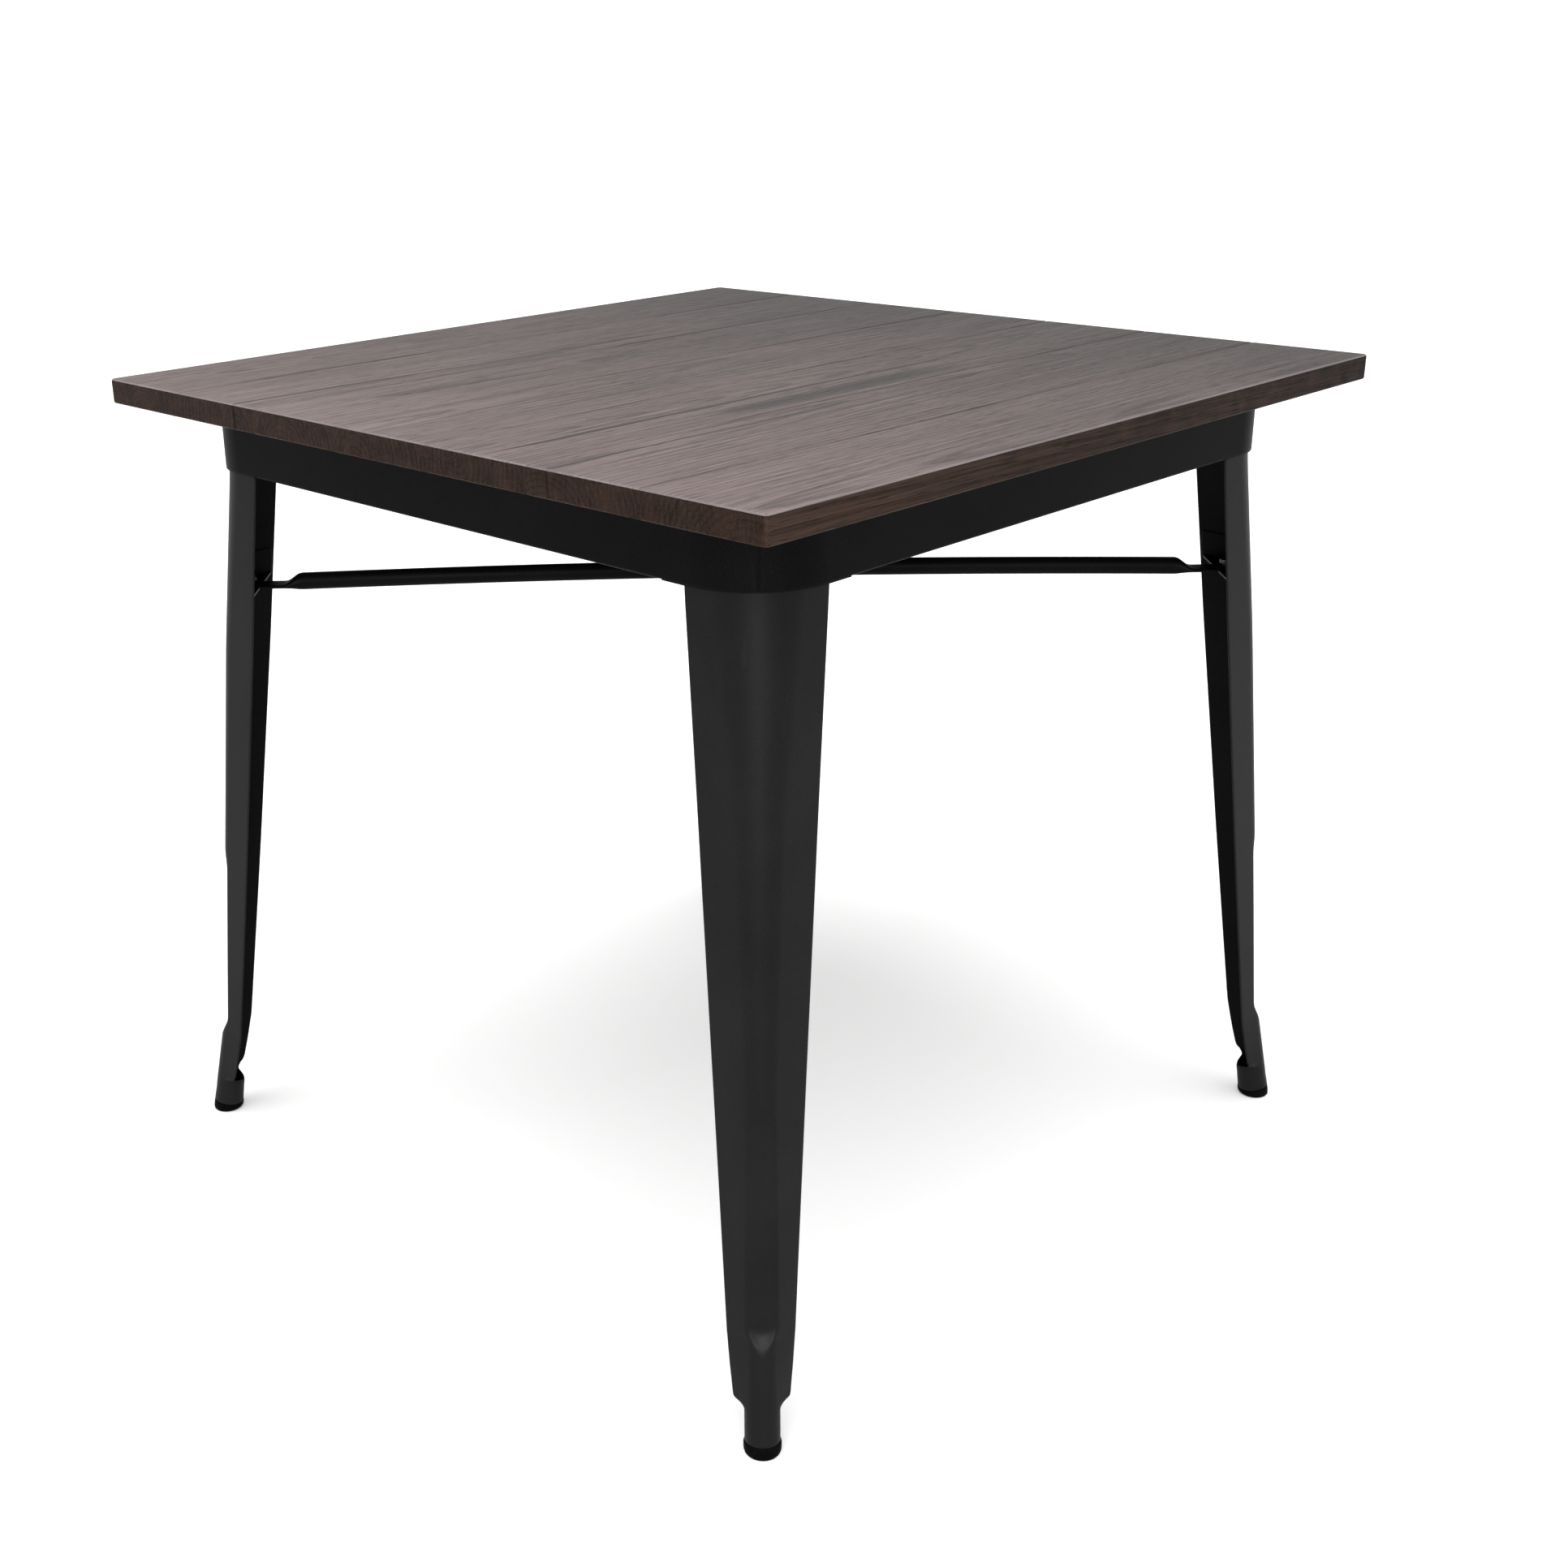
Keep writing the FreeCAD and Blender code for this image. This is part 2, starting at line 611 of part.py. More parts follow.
tongue_top = dim("brace_level") + dim("tongue_thick") / 2
shelf_under = dim("brace_level") - dim("tongue_thick") / 2 - dim("gusset_thick")
for corner_name, degrees in CORNERS:
    spot = diagonal(dim("tongue_hole"), 0, 0)
    bolt = make_bolt(f"brace_bolt_{corner_name}", f"{cell('tongue_thick')}"
                     f" + {cell('gusset_thick')} + {cell('nut_high')} + 2")
    corner_turn = turned(degrees)
    bolt.Placement = corner_turn.multiply(aimed(spot + Vector(0, 0, tongue_top),
                                                Vector(0, 0, -1)))
    keep(bolt, f"brace_end_bolt_{corner_name}")
    nut = make_nut(f"brace_nut_{corner_name}", cell("nut_high"))
    nut.Placement = corner_turn.multiply(aimed(spot + Vector(0, 0, shelf_under),
                                               Vector(0, 0, -1)))
    keep(nut, f"brace_end_nut_{corner_name}")

crossing_top = dim("brace_level") + 2 * dim("brace_radius")
crossing_under = dim("brace_level") - 2 * dim("brace_radius")
washers = []
for tag, level in [("upper", crossing_top), ("lower", crossing_under - dim("washer_thick"))]:
    disc = add_primitive("Cylinder", f"washer_{tag}_disc", Radius=cell("washer_radius"),
                         Height=cell("washer_thick"))
    bore = add_primitive("Cylinder", f"washer_{tag}_bore", Radius=cell("hole_radius"),
                         Height=cell("washer_thick"))
    washer = add_cut(f"washer_{tag}", disc, bore)
    washer.setExpression("Placement.Base.z", str(level))
    washers.append(washer)
gather("crossing_washers", washers)

crossing_bolt = make_bolt("crossing_bolt_solid", f"4 * {cell('brace_radius')}"
                          f" + 2 * {cell('washer_thick')} + {cell('nut_high')} + 2")
crossing_bolt.Placement = aimed(Vector(0, 0, crossing_top + dim("washer_thick")),
                                Vector(0, 0, -1))
keep(crossing_bolt, "crossing_bolt")
crossing_nut = make_nut("crossing_nut_solid", cell("nut_high"))
crossing_nut.Placement = aimed(Vector(0, 0, crossing_under - dim("washer_thick")),
                               Vector(0, 0, -1))
keep(crossing_nut, "crossing_nut")

# Wood screws from below, through the apron's flange into each board.
screw_seat = dim("table_height") - dim("top_thick") - wall
for side_name, degrees, spots in SIDES:
    screws = []
    for number, x in enumerate(spots, start=1):
        tag = f"screw_{side_name}_{number}"
        head = add_primitive("Cylinder", f"{tag}_head", Radius=cell("screw_head"),
                             Height=cell("screw_head_high"),
                             Placement__Base__z=f"-{cell('screw_head_high')}")
        shank = add_primitive("Cylinder", f"{tag}_shank", Radius=cell("screw_radius"),
                              Height=cell("screw_long"))
        screw = add_fuse(tag, head, shank)
        screw.Placement = Placement(Vector(x, -screw_line, screw_seat), Rotation())
        screws.append(screw)
    gather(f"top_screws_{side_name}", screws, degrees)

# --- Check every node, then write one STEP file each ---

doc.recompute()
for node in nodes:
    if "Invalid" in node.State or "Error" in node.State:
        raise RuntimeError(f"{node.Label} did not recompute: {node.State}")
    if node.Shape.isNull() or not node.Shape.isValid() or not node.Shape.Solids:
        raise RuntimeError(f"{node.Label} has no valid solid")

os.makedirs("parts", exist_ok=True)
for node in nodes:
    node.Shape.exportStep(f"parts/{node.Label}.step")
print(f"{len(nodes)} nodes written")
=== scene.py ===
import math

import bmesh
import bpy
from mathutils import Matrix, Vector


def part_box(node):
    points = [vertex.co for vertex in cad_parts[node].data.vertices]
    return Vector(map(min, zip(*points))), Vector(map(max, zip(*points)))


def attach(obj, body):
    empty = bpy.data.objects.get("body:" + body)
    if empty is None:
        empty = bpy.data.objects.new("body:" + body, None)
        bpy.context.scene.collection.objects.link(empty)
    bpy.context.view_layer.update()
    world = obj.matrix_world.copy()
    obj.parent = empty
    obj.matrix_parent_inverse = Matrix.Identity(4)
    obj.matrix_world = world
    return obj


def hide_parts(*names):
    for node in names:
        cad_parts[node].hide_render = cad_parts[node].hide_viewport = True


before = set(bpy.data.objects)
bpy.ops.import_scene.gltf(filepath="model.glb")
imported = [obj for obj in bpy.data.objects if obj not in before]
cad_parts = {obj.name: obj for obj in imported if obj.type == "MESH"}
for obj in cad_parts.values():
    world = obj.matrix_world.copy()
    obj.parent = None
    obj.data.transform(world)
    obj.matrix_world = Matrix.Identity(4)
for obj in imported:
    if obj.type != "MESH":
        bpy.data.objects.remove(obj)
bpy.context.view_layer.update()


# Wood top: seven boards glued edge to edge, planed flat, stained a dark greyish walnut and left
# matt. The rim is eased with a small round that carries a painted highlight, and the ends of the
# boards show their end grain on the left and the right.

class Shade:
    """A socket of a material, so that sums of sockets can be written as arithmetic."""

    def __init__(self, tree, socket=None):
        self.tree = tree
        self.socket = socket

    def node(self, kind, settings={}, inputs={}, output=0):
        """Add a node of any kind: its settings first, then the values or links of its sockets."""
        made = self.tree.nodes.new("ShaderNode" + kind)
        for name, value in settings.items():
            if name == "stops":
                elements = made.color_ramp.elements
                elements.remove(elements[1])
                elements[0].position, elements[0].color = value[0]
                for position, color in value[1:]:
                    elements.new(position).color = color
            else:
                setattr(made, name, value)
        for name, value in inputs.items():
            if isinstance(value, Shade):
                self.tree.links.new(value.socket, made.inputs[name])
            else:
                made.inputs[name].default_value = value
        return Shade(self.tree, made.outputs[output])

    def math(self, operation, *values):
        return self.node("Math", {"operation": operation}, dict(enumerate(values)))

    def __add__(self, other):
        return self.math("ADD", self, other)

    def __sub__(self, other):
        return self.math("SUBTRACT", self, other)

    def __rsub__(self, other):
        return self.math("SUBTRACT", other, self)

    def __mul__(self, other):
        return self.math("MULTIPLY", self, other)

    def __truediv__(self, other):
        return self.math("DIVIDE", self, other)

    def __abs__(self):
        return self.math("ABSOLUTE", self)

    __radd__ = __add__
    __rmul__ = __mul__

    def between(self, low, high, to_low=0.0, to_high=1.0):
        """Map a range smoothly onto another, flat beyond its ends."""
        inputs = {"Value": self, "From Min": low, "From Max": high,
                  "To Min": to_low, "To Max": to_high}
        return self.node("MapRange", {"interpolation_type": "SMOOTHSTEP"}, inputs)

    def noise(self, scales, detail=2.0, roughness=0.5, shift=(0, 0, 0)):
        """Noise on these coordinates, with its own scale along each axis."""
        moved = self.node("Mapping", {}, {"Vector": self, "Scale": scales, "Location": shift})
        return self.node("TexNoise", {}, {"Vector": moved, "Scale": 1.0, "Detail": detail,
                                          "Roughness": roughness})

    def mix(self, factor, first, second):
        """Blend two colours."""
        return self.node("Mix", {"data_type": "RGBA"}, {0: factor, 6: first, 7: second}, output=2)

    def bump(self, height, distance):
        """A normal that follows a height given as a share of a distance in metres."""
        return self.node("Bump", {}, {"Height": height, "Distance": distance, "Strength": 1.0})


def new_finish(name, **constants):
    """A material, its shader, and a Shade for adding nodes to it."""
    material = bpy.data.materials.new(name)
    material.use_nodes = True
    shader = material.node_tree.nodes["Principled BSDF"]
    for key, value in constants.items():
        shader.inputs[key.replace("_", " ")].default_value = value
    return material, shader, Shade(material.node_tree)


def feed(shader, **links):
    """Link fields to the shader's sockets."""
    for key, field in links.items():
        field.tree.links.new(field.socket, shader.inputs[key.replace("_", " ")])


board_count = 7
half_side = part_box("tabletop_board_1")[1][0]
board_wide = 2 * half_side / board_count
top_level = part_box("tabletop_board_1")[1][2]
ring_pitch = 0.0052


def stained_wood(name, stops, gloss, on_edges):
    """The stained wood. Planed faces take a light sheen and end grain soaks up more stain; the copy
    for the upright edges is given darker stops, which is painted shade.
    """
    finish, shader, add = new_finish(name, Specular_IOR_Level=gloss)
    place = add.node("TexCoord", output="Object")
    along = add.node("SeparateXYZ", {}, {0: place}, output="X")
    across = add.node("SeparateXYZ", {}, {0: place}, output="Y")
    height = add.node("SeparateXYZ", {}, {0: place}, output="Z")

    # Every board comes from its own place in its own log, a little off the log's axis, so the
    # growth rings run as long arches along some boards and as straight lines along the others.
    board = add.math("FLOOR", (across + half_side - 0.0001) / board_wide)
    lot = add.node("TexWhiteNoise", {"noise_dimensions": "1D"}, {"W": board * 3.7 + 2.3}, "Color")
    draw_a, draw_b, draw_c = [add.node("SeparateColor", {}, {0: lot}, output=i) for i in range(3)]
    shifted = add.node("CombineXYZ", {}, {"X": along + board * 1.37, "Y": across, "Z": height})
    heart_across = (board + 0.5) * board_wide - half_side + (draw_a - 0.5) * 0.09
    heart_height = top_level - 0.018 - draw_b * 0.07 + (draw_c - 0.5) * 0.11 * along
    sway = (shifted.noise((1.1, 7.0, 7.0), 2.0) - 0.5) * 0.022
    ripple = (shifted.noise((6.0, 30.0, 30.0), 2.0, shift=(3, 1, 0)) - 0.5) * 0.0035
    sideways = across - heart_across
    deep = height - heart_height
    reach = add.math("SQRT", sideways * sideways + deep * deep) + sway + ripple
    ring = add.math("FRACT", reach / ring_pitch)
    late_wood = ring.between(0.45, 0.93) * ring.between(0.95, 1.0, 1.0, 0.0)

    # Fibres, open pores and broad bands of darker and lighter wood, all drawn out along X.
    fibres = shifted.noise((5.0, 620.0, 620.0), 3.0, 0.6)
    threads = shifted.noise((16.0, 1500.0, 1500.0), 2.0, 0.5, shift=(7, 0, 0))
    pores = shifted.noise((42.0, 1150.0, 1150.0), 1.0, 0.5, shift=(1, 5, 2)).between(0.60, 0.70)
    bands = shifted.noise((1.3, 26.0, 26.0), 3.0, 0.55, shift=(0, 2, 0))
    clouds = place.noise((2.2, 5.0, 5.0), 2.0, 0.5, shift=(4, 4, 0))

    def vein(at, start, end, rise, wide, wave):
        """A dark mineral vein along X that fades at its ends; it tilts by rise and wanders."""
        wander = place.noise((4.5, 0.0, 0.0), 2.0, 0.45, shift=(at * 40, at * 90, 1))
        off = abs(across - at - rise * along - (wander - 0.5) * wave)
        fade = along.between(start - 0.05, start + 0.05)
        return off.between(wide * 0.2, wide, 1, 0) * fade * along.between(end - 0.12, end, 1, 0)

    veins = (vein(0.196, -0.5, 0.16, -0.004, 0.0028, 0.016) * 0.85
             + vein(0.288, -0.33, -0.08, 0.0, 0.0018, 0.004) * 0.35
             + vein(0.119, -0.36, 0.14, 0.0, 0.0018, 0.006) * 0.35
             + vein(-0.118, -0.36, 0.18, 0.004, 0.0030, 0.016) * 0.8
             + vein(-0.192, -0.42, 0.11, 0.0, 0.0020, 0.010) * 0.5
             + vein(-0.176, -0.24, -0.11, 0.01, 0.0018, 0.004) * 0.4
             + vein(-0.146, -0.16, 0.16, 0.0, 0.0200, 0.012) * 0.28)
    figure = along.between(-0.1, 0.35, 1.0, 0.55)

    # Darker steadily towards the right and, less so, towards the back: this is painted shade, for
    # the way the light falls off across the top.
    darkness = (late_wood * 0.26 * figure + (fibres - 0.5) * 1.20 + (threads - 0.5) * 0.75
                + (bands - 0.5) * 0.35 * figure + (clouds - 0.5) * 0.35 + veins * 1.6
                + pores * 0.32 + (draw_b - 0.5) * 0.04 + along * 0.90 + across * 0.14
                + 0.50)
    stain = add.node("ValToRGB", {"stops": stops}, {"Fac": darkness})
    if on_edges:
        end_grain = abs(along).between(half_side - 0.0012, half_side - 0.0004)
        cut_ends = place.noise((4.0, 900.0, 70.0), 3.0, 0.6, shift=(2, 0, 3)).between(0.35, 0.7)
        mottle = place.noise((45.0, 45.0, 60.0), 3.0, 0.6, shift=(6, 1, 0)).between(0.4, 0.7)
        soaked = add.mix(end_grain * (cut_ends * 0.5 + 0.35), stain, (0.010, 0.006, 0.005, 1))
        colour = add.mix(mottle * 0.35, soaked, (0.048, 0.026, 0.018, 1))
    else:
        # A painted highlight along the eased rim of the top.
        rim = add.math("MAXIMUM", abs(along), abs(across))
        rim_highlight = rim.between(half_side - 0.0024, half_side - 0.0008)
        colour = add.mix(rim_highlight * 0.55, stain, (0.24, 0.222, 0.222, 1))
    relief = fibres * 0.5 + threads * 0.3 - late_wood * 0.25 - pores * 0.8 - veins * 0.3
    feed(shader, Base_Color=colour, Roughness=0.43 + (fibres - 0.5) * 0.30 + pores * 0.2,
         Normal=add.bump(relief, 0.00022))
    return finish


planed_wood = stained_wood("dark_stained_wood", [
    (0.0, (0.185, 0.135, 0.127, 1)), (0.36, (0.098, 0.070, 0.0655, 1)),
    (0.68, (0.045, 0.031, 0.028, 1)), (1.0, (0.013, 0.009, 0.008, 1))], 0.36, False)
# A darker copy of the stain for the upright edges: painted shade. The darker end grain within it is
# the wood's own.
edge_wood_painted_shade = stained_wood("stained_edges_painted_shade", [
    (0.0, (0.056, 0.034, 0.026, 1)), (0.36, (0.029, 0.018, 0.014, 1)),
    (0.68, (0.015, 0.009, 0.007, 1)), (1.0, (0.005, 0.003, 0.003, 1))], 0.025, True)


def make_piece(shape, name, finish, finish_slot, *stands_for):
    """Turn a bmesh into a shaded piece that rides on the frame and stands for CAD nodes."""
    mesh = bpy.data.meshes.new(name)
    shape.to_mesh(mesh)
    shape.free()
    mesh.shade_smooth()
    mesh.set_sharp_from_angle(angle=math.radians(50))
    mesh.materials.append(finish)
    piece = bpy.data.objects.new(name, mesh)
    bpy.context.scene.collection.objects.link(piece)
    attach(piece, "root")
    if stands_for:
        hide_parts(*stands_for)
    return piece


def even_normals(piece):
    """Let the large faces lead the shading of the small rounds beside them."""
    piece.modifiers.new("even_normals", "WEIGHTED_NORMAL").keep_sharp = True


def round_edges(shape, edges, radius, segments):
    """Round some edges of a bmesh."""
    bmesh.ops.bevel(shape, geom=list(edges), offset=radius, segments=segments, affect="EDGES",
                    profile=0.5, material=-1)


corner_round = 0.005
arris_round = 0.002
seam_break = 0.00008


def at_side(edge, limit=half_side - 0.0001):
    """Whether an edge lies along the front or the back of the top."""
    return all(abs(v.co.y) > limit for v in edge.verts)


def at_end(edge, limit=half_side - 0.0001):
    """Whether an edge lies along the left or the right of the top."""
    return all(abs(v.co.x) > limit for v in edge.verts)


def upright(edge):
    """Whether an edge runs up through the thickness of the top."""
    return abs(edge.verts[0].co.z - edge.verts[1].co.z) > 0.001


for number in range(1, board_count + 1):
    low, high = [Vector(corner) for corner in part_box(f"tabletop_board_{number}")]
    shape = bmesh.new()
    bmesh.ops.create_cube(shape, size=1.0)
    bmesh.ops.scale(shape, vec=high - low, verts=shape.verts)
    bmesh.ops.translate(shape, vec=(high + low) / 2, verts=shape.verts)
    round_edges(shape, [e for e in shape.edges if upright(e) and at_side(e)], corner_round, 5)
    rims = [e for e in shape.edges if not upright(e)
            and (at_side(e) or at_end(e) or (at_side(e, half_side - corner_round)
                                             and at_end(e, half_side - corner_round)))]
    seams = [e for e in shape.edges if e not in rims and not upright(e)]
    round_edges(shape, rims, arris_round, 4)
    seams = [e for e in seams if e.is_valid]
    round_edges(shape, seams, seam_break, 1)
    shape.normal_update()
    for face in shape.faces:
        face.material_index = 1 if face.normal.z < 0.35 else 0
    piece = make_piece(shape, f"wood_board_{number}", planed_wood, "stained_wood",
                       f"tabletop_board_{number}")
    piece.data.materials.append(edge_wood_painted_shade)
    even_normals(piece)


# Apron: four rails folded from 1.5 mm sheet, each with a screw flange under the wood and a
# narrow lip along its lower edge. Their ends are welded in the middle of the round corners and
# ground flush, and the whole frame is powder coated black.

def powder_coat(name, black, grey, gloss):
    """Satin powder coat: a fine orange peel with faint drifts, scuffs and dust."""
    finish, shader, add = new_finish(name, Specular_IOR_Level=gloss)
    place = add.node("TexCoord", output="Object")
    peel = place.noise((760, 760, 760), 2.0, 0.5)
    grit = place.noise((2600, 2600, 2600), 1.0, 0.5)
    drift = place.noise((11, 11, 11), 3.0, 0.5)
    scuffs = place.noise((60, 60, 7), 4.0, 0.7, shift=(2, 3, 1)).between(0.62, 0.82)
    dust = place.noise((1500, 1500, 1500), 0.0, 0.5, shift=(9, 1, 4)).between(0.72, 0.80)
    drifted = add.mix(drift.between(0.3, 0.7), black, grey)
    feed(shader, Base_Color=add.mix(dust * 0.25 + scuffs * 0.12, drifted, (0.05, 0.05, 0.05, 1)),
         Roughness=0.43 + (drift - 0.5) * 0.14 + scuffs * 0.12,
         Normal=add.bump(peel * 0.75 + grit * 0.25, 0.00012))
    return finish


# A darker copy of the coat, painted shade, for the faces that lie under the top and inside the
# legs: the apron, braces, gussets and the legs' inner faces.
coat_in_painted_shade = powder_coat("black_powder_coat_painted_shade", (0.0042, 0.0042, 0.0044, 1),
                        (0.0058, 0.0058, 0.0060, 1), 0.016)
# The same coat, lighter, for the outer faces of the legs, which stand clear of the top; the two
# copies differ only by painted shade.
coat = powder_coat("black_powder_coat", (0.0100, 0.0100, 0.0105, 1),
                   (0.0128, 0.0128, 0.0134, 1), 0.040)

sheet_thick = 0.0015
rail_low, rail_high = [Vector(corner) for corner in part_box("apron_rail_front")]
apron_face = -rail_low.y
apron_round = 0.070
apron_flat = apron_face - apron_round
lip_half = 0.255
lip_deep = 0.009
flange_deep = 0.022


def inwards(spot):
    """The level direction from the front rail's outer face towards its inside."""
    if abs(spot.x) <= apron_flat + 0.00001:
        return Vector((0, 1, 0))
    centre = Vector((math.copysign(apron_flat, spot.x), -apron_flat, spot.z))
    return (centre - spot).normalized()


def draw_row(shape, edges, inward, up):
    """Extrude a row of edges, moving each new point inwards and up."""
    made = bmesh.ops.extrude_edge_only(shape, edges=edges)["geom"]
    for point in [g for g in made if isinstance(g, bmesh.types.BMVert)]:
        point.co += inwards(point.co) * inward + Vector((0, 0, up))
    row = [g for g in made if isinstance(g, bmesh.types.BMEdge)]
    ends = {v for v in made if isinstance(v, bmesh.types.BMVert)}
    return [e for e in row if all(v in ends for v in e.verts)]


def fold(shape, edges, radius, turn_up, steps=4):
    """Fold a row of edges through a right angle, from upright to inwards."""
    for step in range(steps):
        first = math.pi / 2 * step / steps
        second = math.pi / 2 * (step + 1) / steps
        edges = draw_row(shape, edges, radius * (math.cos(first) - math.cos(second)),
                         turn_up * radius * (math.sin(second) - math.sin(first)))
    return edges


def turn_upright(shape, degrees):
    """Turn a whole bmesh about the table's upright middle line."""
    bmesh.ops.rotate(shape, cent=(0, 0, 0), matrix=Matrix.Rotation(math.radians(degrees), 3, "Z"),
                     verts=shape.verts)


fold_round = 0.0025
sides = (("front", 0), ("right", 90), ("back", 180), ("left", 270))
shape = bmesh.new()
foot_line = rail_low.z + fold_round
starts = [shape.verts.new((x, -apron_face, foot_line))
          for x in (-apron_flat, -lip_half, lip_half, apron_flat)]
for first, second in zip(starts, starts[1:]):
    shape.edges.new((first, second))
for side, start in ((-1, starts[0]), (1, starts[3])):
    bmesh.ops.spin(shape, geom=[start], cent=(side * apron_flat, -apron_flat, foot_line),
                   axis=(0, 0, 1), angle=side * math.pi / 4, steps=18)
base_row = list(shape.edges)
lip_row = [e for e in base_row if all(abs(v.co.x) < lip_half + 0.0001 for v in e.verts)]
draw_row(shape, [e for e in base_row if e not in lip_row], 0, -fold_round)
lip_row = fold(shape, lip_row, fold_round, -1)
draw_row(shape, lip_row, lip_deep - fold_round, 0)
flange_row = draw_row(shape, base_row, 0, rail_high.z - rail_low.z - 2 * fold_round)
flange_row = fold(shape, flange_row, fold_round, 1)
draw_row(shape, flange_row, flange_deep - fold_round, 0)
bmesh.ops.recalc_face_normals(shape, faces=shape.faces)
face = min(shape.faces, key=lambda f: f.calc_center_median().y)
if face.normal.y > 0:
    bmesh.ops.reverse_faces(shape, faces=shape.faces)
front_rail = shape
for side_name, degrees in sides:
    rail = front_rail.copy()
    turn_upright(rail, degrees)
    # The apron takes the darker copy of the coat, painted shade.
    piece = make_piece(rail, f"apron_{side_name}", coat_in_painted_shade, "black_powder_coat",
                       f"apron_rail_{side_name}")
    wall = piece.modifiers.new("sheet", "SOLIDIFY")
    wall.thickness = sheet_thick
    wall.offset = -1
    wall.use_even_offset = True
    even_normals(piece)
front_rail.free()


# Legs: one pressing each of 1.5 mm sheet, a rounded V that tapers down to a tube rolled at the
# foot. A flat is pressed down the lower corner to stiffen it, and the flanges are notched where
# the sheet starts to roll. Each bolts inside a corner of the apron.

crown_level, foot_level = 731.0, 8.6
foot_round = 14.2

# Each row: level, reach of the corner along the diagonal, corner radius, turn of each side in
# degrees, half of the sheet's width, and how far the flange is rolled round, all in mm.
leg_rows = [
    (731.0, 463.0, 46.98, 45.0, 63.4, 0.0), (676.0, 463.2, 46.98, 45.0, 63.4, 0.0),
    (505.0, 484.6, 26.0, 45.0, 57.3, 0.0), (291.0, 507.2, 17.0, 45.0, 46.4, 0.0),
    (95.0, 529.0, 14.3, 48.0, 36.8, 0.0), (66.0, 534.8, 14.3, 51.0, 35.0, 0.0),
    (45.5, 538.9, 14.3, 53.5, 33.0, 0.0), (42.0, 539.6, 14.3, 54.0, 32.4, 0.0),
    (40.2, 540.0, 14.3, 55.0, 31.0, 0.05), (38.2, 540.4, 14.2, 56.0, 28.6, 0.45),
    (36.4, 540.8, 14.2, 57.0, 28.4, 0.88), (35.0, 541.0, 14.2, 57.0, 31.5, 1.0),
    (33.5, 541.3, 14.2, 57.0, 38.5, 1.0), (32.0, 541.6, 14.2, 57.0, 43.0, 1.0),
    (30.5, 541.9, 14.2, 57.0, 44.0, 1.0),
    (8.6, 545.8, 14.2, 57.0, 44.0, 1.0)]


def leg_values(level):
    """The values of a row at any level, joined by straight lines."""
    for upper, lower in zip(leg_rows, leg_rows[1:]):
        if level >= lower[0] - 0.001:
            share = (level - lower[0]) / (upper[0] - lower[0])
            return [b + share * (a - b) for a, b in zip(upper, lower)]
    return list(leg_rows[-1])


def eased_values(level):
    """The same values with the kinks between the straight lines eased."""
    spread = 16.0 if level > 110 else 0.9
    spread = min(spread, crown_level - level, level - foot_level)
    sets = [leg_values(level + spread * k / 3) for k in range(-3, 4)]
    return [sum(column) / len(sets) for column in zip(*sets)]


def ease(value, low, high):
    """0 below low, 1 above high and smooth in between."""
    share = min(max((value - low) / (high - low), 0.0), 1.0)
    return share * share * (3 - 2 * share)


def pressed_depth(level, v):
    """How deep the flat is pressed into the corner, in mm; its two ends are scooped round."""
    shallow, deep = 3.2, 6.8
    calf, ankle = 291.0, 95.0
    depth = shallow + (deep - shallow) * (calf - level) / (calf - ankle)
    curve = 0.03 * v * v
    return (depth * ease(level, 87.0 + curve, 105.0 + curve)
            * (1 - ease(level, 278.0 - curve, 293.0 - curve)))


def leg_section(level, shares):
    """Points across the leg's outer face from the corner to a free edge: depth and width."""
    _, reach, corner, turn, half_sheet, roll = eased_values(level)
    bend = corner * math.radians(turn)
    points = []
    u = v = heading = walked = 0.0
    for share in shares:
        target = share * bend if share <= 1 else bend + (share - 1) * (half_sheet - bend)
        while walked < target - 0.0001:
            step = min(0.25, target - walked)
            curving = 1 / corner if walked < bend - 0.001 else roll / foot_round
            heading += step / 2 * curving
            u -= step * math.sin(heading)
            v += step * math.cos(heading)
            heading += step / 2 * curving
            walked += step
        points.append((u, v))
    # The rolled foot is tucked in where it opens, under the notch.
    tucked = 0.74 + 0.26 * math.sqrt(1 - ease(level, 26.0, 36.0) ** 2) if level < 48 else 1.0
    tucked += (1 - tucked) * ease(level, 37.0, 48.0)
    points = [(u if u > -foot_round else -foot_round + (u + foot_round) * tucked, v)
              for u, v in points]
    pressed = []
    soft = 0.9
    for u, v in points:
        depth = pressed_depth(level, v)
        if depth > 0.01:
            gap = u + depth
            u = -depth + (gap - math.sqrt(gap * gap + soft * soft)) / 2 if gap > -6 else u
        pressed.append((reach + u, v))
    return pressed


def in_corner(reach, across_leg, level):
    """A point of the back right leg, from millimetres."""
    return Vector((reach - across_leg, reach + across_leg, level * math.sqrt(2))) / (
        1000 * math.sqrt(2))


bend_steps, flange_steps = 12, 16
side_shares = ([k / bend_steps for k in range(bend_steps + 1)]
               + [1 + k / flange_steps for k in range(1, flange_steps + 1)])
levels = [731.0, 716.0, 700.0, 688.0, 676.0]
levels += [676.0 - 12.2 * k for k in range(1, 31)]
levels += [306.0, 301.0, 297.0, 293.5, 290.0, 286.0, 281.0, 276.0, 270.0]
levels += [270.0 - 12.0 * k for k in range(1, 13)]
levels += [121.0, 116.0, 111.5, 108.0, 105.0, 102.0, 99.5, 97.0, 94.5, 92.0, 89.5, 87.0, 84.5]
levels += [81.0, 76.0, 71.0, 66.0]
levels += [61.0, 56.0, 52.0, 49.0, 47.0, 45.0, 43.5, 42.2, 41.2, 40.2, 39.2, 38.2, 37.2, 36.2]
levels += [35.2, 34.0, 33.0, 32.0, 31.0, 30.0, 29.0, 27.8, 26.4, 24.5, 22.0, 18.0, 13.0, 9.5, 8.6]

